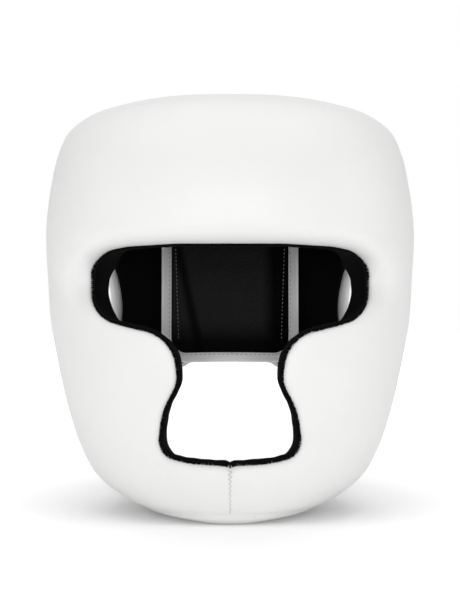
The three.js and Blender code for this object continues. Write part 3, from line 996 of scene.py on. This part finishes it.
def opening_wall(step):
    """Places and directions round the wall of the face opening."""
    flat, outward = whole_outline(step)
    near = lifted(flat, front_y(OUTER_ROWS, flat, OUTER_SQUARENESS))
    inner = drawn_in(sloped(flat, outward))
    far = lifted(inner, front_y(CAVITY_ROWS, inner, CAVITY_SQUARENESS, 1))
    depth = np.linalg.norm(far - near, axis=1)
    through = unit(far - near)
    aside = lifted(outward, np.zeros(len(outward)))
    aside = unit(aside - (aside * through).sum(1)[:, None] * through)
    return SimpleNamespace(
        flat=flat, outward=outward, near=near, far=far, depth=depth, through=through, aside=aside)


def sleeve_start(flat):
    """Depth at which the lining's edge meets the leather, where its roll ends."""
    return edge_depth(flat[:, 0], flat[:, 1]) - 1


def wall_field(points):
    """Distance from the middle of the lining's edge, which follows the wall of the opening."""
    gap = face_gap(points, star_distance(OUTER, points), star_distance(CAVITY, points))
    return gap + SLEEVE_SET


def sleeve_points(step, rows=12, hem_rows=9):
    """Middle of the lining's edge: along the wall of the opening, then round onto the cavity."""
    turn_length, hem_width = 7, 4.5
    wall = opening_wall(step)
    start = sleeve_start(wall.flat)
    end = wall.depth - turn_length
    count = np.arange(len(start))
    ripple = 0.18 * np.sin(count * 0.83) * np.sin(count * 0.31 + 1)
    rounding = inner_rounding(wall.flat)
    hem_flat = drawn_in(wall.flat + hem_width * wall.outward)
    hem = lifted(hem_flat, front_y(CAVITY_ROWS, hem_flat, CAVITY_SQUARENESS, SLEEVE_HALF))
    points = []
    for share in np.linspace(0, 1, rows):
        reach = start + share * (end - start)
        on_wall = wall.near + reach[:, None] * wall.through - SLEEVE_SET * wall.aside
        swell = ripple + rounding * share + 0.15 * math.sin(math.pi * share)
        points.append(settle(wall_field, on_wall, 5) - swell[:, None] * wall.aside)
    turn = points.pop()
    corner = wall.far - (SLEEVE_SET + ripple + rounding)[:, None] * wall.aside
    for t in np.linspace(0, 1, hem_rows):
        points.append((1 - t) ** 2 * turn + 2 * t * (1 - t) * corner + t * t * hem)
    return np.stack(points, 1)


def sheet_normals(points):
    """Unit normals of a grid of points that is closed along its rows."""
    along = np.roll(points, -1, axis=0) - np.roll(points, 1, axis=0)
    return unit(np.cross(along, np.gradient(points, axis=1)))


def lining_edge():
    """The lining's edge, turned out through the face opening."""
    middle = sleeve_points(1.6)
    half = SLEEVE_HALF * sheet_normals(middle)
    points, faces = grid_solid(middle + half, middle - half, closed=True)
    piece = make_piece("lining_edge", points, faces, LINING_CLOTH, ("lining",), "black_lining")


def nape_y(x, z, depth):
    """Y of the back of the cavity, moved towards the head by depth."""
    side, rear = section_at(CAVITY_ROWS, z, (1, 5))
    return bowed(rear, x, side, REAR_SQUARENESS) - depth


def nape_half_width(z, inset):
    """Half the width of the nape panel at a height, with its lower corners rounded."""
    radius = NAPE_CORNER - inset
    above = z - (NAPE_BOTTOM + inset)
    rounded = np.sqrt(np.maximum(radius ** 2 - np.maximum(radius - above, 0) ** 2, 0))
    return NAPE_HALF_WIDTH - NAPE_CORNER + rounded


def nape_edge_distance(x, z):
    """Distance inside the sides and bottom of the nape panel."""
    past_x = np.abs(x) - NAPE_HALF_WIDTH + NAPE_CORNER
    past_z = NAPE_BOTTOM - z + NAPE_CORNER
    return edge_distance(past_x, past_z, NAPE_CORNER)


# Soft creases of the nape panel: x and z of both ends, depth and width
NAPE_CREASES = (
    ((-37, 168), (-23, 101), 4.0, 3.2),
    ((33, 168), (38, 104), 4.0, 3.2),
    ((-23, 99), (38, 99), 2.2, 3.6),
)


def nape_creases(x, z):
    """Depth of the creases at a point of the panel."""
    flat = np.stack([x.ravel(), z.ravel()], 1)
    total = np.zeros(len(flat))
    for start, end, depth, width in NAPE_CREASES:
        total += depth * bell(path_distance(np.array([start, end], float), flat), width)
    return total.reshape(x.shape)


def nape_front(x, z):
    """Y of the front of the nape panel, which is thin at its edge and in its creases."""
    fill = smoothstep(nape_edge_distance(x, z), BINDING_LIP, NAPE_RISE)
    thick = NAPE_EDGE - 0.4 + (NAPE_PAD - NAPE_EDGE) * fill - nape_creases(x, z) * (0.3 + 0.7 * fill)
    return nape_y(x, z, NAPE_BASE + thick)


def nape_panel():
    """The black padded panel at the back of the head space."""
    inset = BINDING + GAP + 0.2
    low = NAPE_BOTTOM + inset
    heights = low + (NAPE_TOP - low) * np.linspace(0, 1, 121) ** 1.35
    across = np.linspace(-1, 1, 81)
    z = np.repeat(heights[:, None], len(across), axis=1)
    x = across[None, :] * np.maximum(nape_half_width(heights, inset), 4)[:, None]
    front = np.stack([x, nape_front(x, z), z], -1)
    back = np.stack([x, nape_y(x, z, NAPE_BASE), z], -1)
    points, faces = grid_solid(front, back, turned=True)
    piece = make_piece("nape_panel_soft", points, faces, MESH_CLOTH, ("nape_panel",), "black_mesh")


def binding_path(step):
    """Points along the sides and bottom of the nape panel, and the directions into it."""
    half = rounded_path((
        (NAPE_HALF_WIDTH, NAPE_TOP, 0),
        (NAPE_HALF_WIDTH, NAPE_BOTTOM, NAPE_CORNER),
        (0, NAPE_BOTTOM, 0),
    ))
    path = np.concatenate([half, (half * [-1, 1])[-2::-1]])
    total = path_lengths(path)[-1]
    path = along_path(path, np.linspace(0, total, round(total / step)))
    heading = unit(np.gradient(path, axis=0))
    return path, np.stack([heading[:, 1], -heading[:, 0]], 1)


def binding_profile():
    """Outline of the folded binding: a channel with a round back and round lips."""
    lip, wall, thick = BINDING_LIP, BINDING, BINDING_THICK
    return rounded_path((
        (0, 0, 2.6), (lip, 0, 0.6), (lip, wall, 0.6), (wall, wall, 1.2),
        (wall, thick - wall, 1.2), (lip, thick - wall, 0.6), (lip, thick, 0.6), (0, thick, 2.6),
    ), 0.6)


def nape_binding():
    """The leather folded round the sides and bottom of the nape panel."""
    path, inward = binding_path(2.0)
    profile = binding_profile()
    flat = path[:, None, :] + profile[None, :, :1] * inward[:, None, :]
    y = nape_y(flat[..., 0], flat[..., 1], GAP + profile[None, :, 1])
    points = np.stack([flat[..., 0], y, flat[..., 1]], -1)
    rows, columns = points.shape[:2]
    index = np.arange(rows * columns).reshape(rows, columns)
    index = np.concatenate([index, index[:, :1]], 1)
    quads = index.ravel()[grid_quads(rows, columns + 1)]
    faces = quads.tolist() + [index[0, :-1].tolist(), index[-1, -2::-1].tolist()]
    points = points.reshape(-1, 3)
    piece = make_piece("nape_binding_soft", points, faces, TRIM_PAINTED_LIGHTER, ("nape_binding",), "white_binding")


def strap_surface(x, z, depth):
    """A point over the back of the shell, moved out by depth."""
    side, rear = section_at(OUTER_ROWS, z, (4, 5), z_column=3)
    lean = x / (2 * CLOSURE_HALF_WIDTH)
    return np.stack([x + depth * lean, bowed(rear, x, side, REAR_SQUARENESS) + depth, z], -1)


def strap_edge_distance(x, z):
    """Distance inside the outline of the closure strap."""
    past_x = np.abs(x) - CLOSURE_HALF_WIDTH + CLOSURE_CORNER
    past_z = np.abs(z - CLOSURE_MIDDLE) - CLOSURE_HALF_HEIGHT + CLOSURE_CORNER
    return edge_distance(past_x, past_z, CLOSURE_CORNER)


def closure_strap():
    """The strap across the slit, with round edges and a seam all round."""
    edge_round, edge_half, seam_inset = 1.4, 0.15, 4
    across = CLOSURE_HALF_WIDTH * np.sin(np.linspace(-1, 1, 101) * math.pi / 2)
    past = np.maximum(np.abs(across) - (CLOSURE_HALF_WIDTH - CLOSURE_CORNER), 0)
    corner = np.sqrt(np.maximum(CLOSURE_CORNER ** 2 - past ** 2, 0))
    upward = np.sin(np.linspace(-1, 1, 41) * math.pi / 2)
    x = np.repeat(across[:, None], len(upward), axis=1)
    z = CLOSURE_MIDDLE + upward[None, :] * (CLOSURE_HALF_HEIGHT - CLOSURE_CORNER + corner)[:, None]
    inside = strap_edge_distance(x, z)
    edge = np.clip(inside, 0, edge_round) / edge_round
    half = edge_half + (STRAP / 2 - edge_half) * np.sqrt(1 - (1 - edge) ** 2)
    seam = 0.35 * bell(inside - seam_inset, 0.8)
    level = STRAP_GAP + STRAP / 2
    front = strap_surface(x, z, level + half - seam)
    back = strap_surface(x, z, level - half)
    points, faces = grid_solid(front, back, turned=True)
    piece = make_piece("closure_strap_soft", points, faces, LEATHER, ("closure_strap",), "white_leather")


# Stitches

STITCH_SIDES = 6
STITCH_RINGS = ((-0.5, 0.45, 0.0), (-0.32, 0.9, 0.6), (0.0, 1.0, 1.0), (0.32, 0.9, 0.6), (0.5, 0.45, 0.0))


def stitch_template():
    """One stitch of unit length and radius, with columns along, aside, up and lift."""
    angles = np.arange(STITCH_SIDES) * 2 * math.pi / STITCH_SIDES
    points = [(along, size * math.cos(a), size * math.sin(a), lift)
              for a in angles for along, size, lift in STITCH_RINGS]
    tip = len(points)
    points += [(-0.56, 0, 0, 0), (0.56, 0, 0, 0)]
    rings = len(STITCH_RINGS)
    faces = grid_quads(STITCH_SIDES, rings, closed=True)[:, ::-1].tolist()
    for side in range(0, tip, rings):
        after = (side + rings) % tip
        faces.append([after, side, tip])
        faces.append([side + rings - 1, after + rings - 1, tip + 1])
    return np.array(points), faces


def stitches(starts, ends, normals, radius, lift):
    """A stitch from each start to its end, bowed away from the surface."""
    template, faces = stitch_template()
    along = ends - starts
    length = np.linalg.norm(along, axis=1)[:, None]
    along = along / length
    aside = unit(np.cross(normals, along))
    up = np.cross(along, aside)
    middle = (starts + ends) / 2
    points = (
        middle[:, None, :]
        + template[None, :, 0:1] * (length * along)[:, None, :]
        + template[None, :, 1:2] * radius * aside[:, None, :]
        + (template[None, :, 2:3] * radius + template[None, :, 3:4] * lift) * up[:, None, :]
    )
    count = len(template)
    every = [[k + i * count for k in face] for i in range(len(starts)) for face in faces]
    return points.reshape(-1, 3), every


def joined(parts):
    """Several sets of points and faces as one."""
    points, faces, start = [], [], 0
    for part_points, part_faces in parts:
        points.append(part_points)
        faces += [[k + start for k in face] for face in part_faces]
        start += len(part_points)
    return np.concatenate(points), faces


def run_stitches(path, normals, length, radius, lift):
    """A running stitch: short stitches along a path with gaps between them."""
    half = unit(np.gradient(path, axis=0)) * length / 2
    return stitches(path - half, path + half, normals, radius, lift)


def on_shell(points):
    """Points set onto the leather, and its normals there."""
    points = settle(shell_field, points, 12)
    return points, unit(gradient(shell_field, points))


def chin_stitches():
    """Zigzag stitches down the middle of the chin."""
    step, sway = 1.5, 0.5
    z = np.arange(7.0, 36, step)
    x = sway * (-1.0) ** np.arange(len(z))
    flat = np.stack([x, z], 1)
    path, normal = on_shell(lifted(flat, front_y(OUTER_ROWS, flat, OUTER_SQUARENESS)))
    return stitches(path[:-1], path[1:], normal[:-1], 0.16, 0.05)


def felt_edge():
    """Uneven tufts where the cut edge of the black cloth lies on the leather."""
    wall = opening_wall(0.8)
    start = sleeve_start(wall.flat)[:, None]
    chance = np.random.default_rng(7)
    uneven = chance.uniform(-0.5, 0.6, (len(start), 1))
    thick = chance.uniform(0.3, 0.6, (len(start), 1, 1))
    leather = on_shell(wall.near + (start + 0.2 - uneven) * wall.through)[0]
    cloth = wall.near + (start + 0.9) * wall.through - (SLEEVE_SET + 0.3) * wall.aside
    return stitches(leather, cloth, -wall.aside - wall.through, thick, 0.0)


def sleeve_stitches():
    """Running stitch along the black edge at the ends of the eye slot."""
    row, half_length = 1, 0.7
    points = sleeve_points(4.4)
    normal = sheet_normals(points)[:, row]
    path = points[:, row] + (SLEEVE_HALF + 0.05) * normal
    ahead = half_length * unit(np.roll(path, -1, axis=0) - path)
    ends = np.abs(path[:, 0]) > 76
    return stitches((path - ahead)[ends], (path + ahead)[ends], normal[ends], 0.24, 0.12)


def nape_stitches():
    """Topstitch on the nape panel beside its binding."""
    step, from_middle, lean = 2.7, 36.4, 0.035
    z = np.arange(103, 231, step)
    parts = []
    for side in (-1, 1):
        x = side * (from_middle + lean * (z - z[0]))
        path = np.stack([x, nape_front(x, z) - 0.1, z], 1)
        normal = np.tile([-0.3 * side, -1.0, 0.0], (len(z), 1))
        parts.append(run_stitches(path, normal, 1.3, 0.26, 0.15))
    return joined(parts)


def binding_stitches():
    """Running stitch near the inner edge of the binding."""
    step, from_edge = 3.2, 1.4
    path, inward = binding_path(step)
    path, inward = path[2:-2], inward[2:-2]
    flat = path + (BINDING_LIP - from_edge) * inward
    y = nape_y(flat[:, 0], flat[:, 1], GAP + BINDING_THICK + 0.05)
    normal = np.tile([0.0, -1.0, 0.0], (len(flat), 1))
    return run_stitches(lifted(flat, y), normal, 1.9, 0.2, 0.1)


def strap_stitches():
    """Stitches round the edge of the closure strap."""
    inset, step = 4.0, 3.2
    right = CLOSURE_HALF_WIDTH - inset
    ends = (CLOSURE_TOP - inset, CLOSURE_BOTTOM + inset)
    radius = CLOSURE_CORNER - inset
    corners = [(right, z, radius) for z in ends] + [(-right, z, radius) for z in ends[::-1]]
    loop = rounded_path(corners)
    loop = np.concatenate([loop, loop[:1]])
    flat = along_path(loop, np.arange(0, path_lengths(loop)[-1] - 1.5, step))
    path = strap_surface(flat[:, 0], flat[:, 1], STRAP_GAP + STRAP - 0.3)
    normal = np.stack([flat[:, 0] / 90, np.ones(len(flat)), np.zeros(len(flat))], 1)
    return run_stitches(path, normal, 2.1, 0.32, 0.2)


padded_shell()
crown_panel()
lining_inside()
lining_edge()
nape_panel()
nape_binding()
closure_strap()
# The chin, nape and binding stitches use the thread painted grey as shade.
make_piece("chin_stitches", *chin_stitches(), SHADE_GREY_THREAD)
make_piece("strap_stitches", *strap_stitches(), WHITE_THREAD)
make_piece("nape_stitches", *nape_stitches(), SHADE_GREY_THREAD)
make_piece("binding_stitches", *binding_stitches(), SHADE_GREY_THREAD)
make_piece("felt_edge", *felt_edge(), LINING_CLOTH)
make_piece("sleeve_stitches", *sleeve_stitches(), DARK_THREAD)


# Stage, light and camera

def add_floor():
    """A pale floor that glows a little, less under the object and more far behind it."""
    bpy.ops.mesh.primitive_circle_add(vertices=96, radius=2.2, fill_type="NGON", location=(0, 0, 0))
    floor = bpy.context.object
    floor.name = "floor"
    material, tree, shader = plain_material("pale_floor", (0.9, 0.9, 0.9), 0.7, 0.1)
    place = object_place(tree)
    away = add_node(tree, "VectorMath", {"Vector": place}, operation="LENGTH")["Value"]
    near = ramped(tree, away, 0.075, 0.15, 0.05, 0.19)
    behind = ramped(tree, split(tree, place)["Y"], 0.4, 1.5, 0.0, 0.45)
    glow = computed(tree, "ADD", near, behind)
    connect(tree, shader, {"Emission Color": (1, 1, 1, 1), "Emission Strength": glow})
    floor.data.materials.append(material)


def add_area(name, location, target, size, radiance):
    """A round soft light as bright as radiance, where white paper in even light is 1."""
    light = bpy.data.lights.new(name, "AREA")
    light.shape = "DISK"
    light.size = size
    light.energy = radiance * math.pi ** 2 * (size / 2) ** 2
    lamp = bpy.data.objects.new(name, light)
    lamp.location = location
    aim = np.array(target) - np.array(location)
    turn = math.atan2(aim[1], aim[0]) - math.pi / 2
    lean = math.atan2(math.hypot(aim[0], aim[1]), -aim[2])
    lamp.rotation_euler = (lean, 0, turn)
    bpy.context.scene.collection.objects.link(lamp)


def add_world(around, behind):
    """Even light from all around, brighter behind the object."""
    world = bpy.data.worlds.new("studio")
    bpy.context.scene.world = world
    world.use_nodes = True
    tree = world.node_tree
    direction = add_node(tree, "TexCoord", {})["Generated"]
    strength = ramped(tree, split(tree, direction)["Y"], 0.75, 0.95, around, behind)
    connect(tree, tree.nodes["Background"], {"Color": (1, 1, 1, 1), "Strength": strength})


def add_light():
    """Even light and five soft lights, each with its place, aim, width and brightness."""
    add_world(0.5, 1.0)
    middle = (0, 0, 0.14)
    add_area("front", (0, -2.4, 0.26), middle, 0.6, 20.8)
    add_area("overhead", (0, -0.1, 1.9), (0, 0, 0), 2.2, 1.44)
    add_area("rear", (0, 0.9, 1.7), (0, 0.2, 0), 1.8, 0.35)
    for name, side in (("left", -1.5), ("right", 1.5)):
        add_area(name, (side, -0.6, 0.5), middle, 1.2, 0.95)


def add_camera():
    """The photo's view: level with the face and tilted down a little."""
    tilt_down = 2.09
    data = bpy.data.cameras.new("camera")
    data.lens = 107.1
    data.sensor_width = 36
    data.clip_start = 0.05
    camera = bpy.data.objects.new("camera", data)
    camera.location = (0, -1.2, 0.172)
    camera.rotation_euler = (math.radians(90 - tilt_down), 0, 0)
    bpy.context.scene.collection.objects.link(camera)
    bpy.context.scene.camera = camera


add_floor()
add_light()
add_camera()
bpy.context.scene.view_settings.view_transform = "Standard"
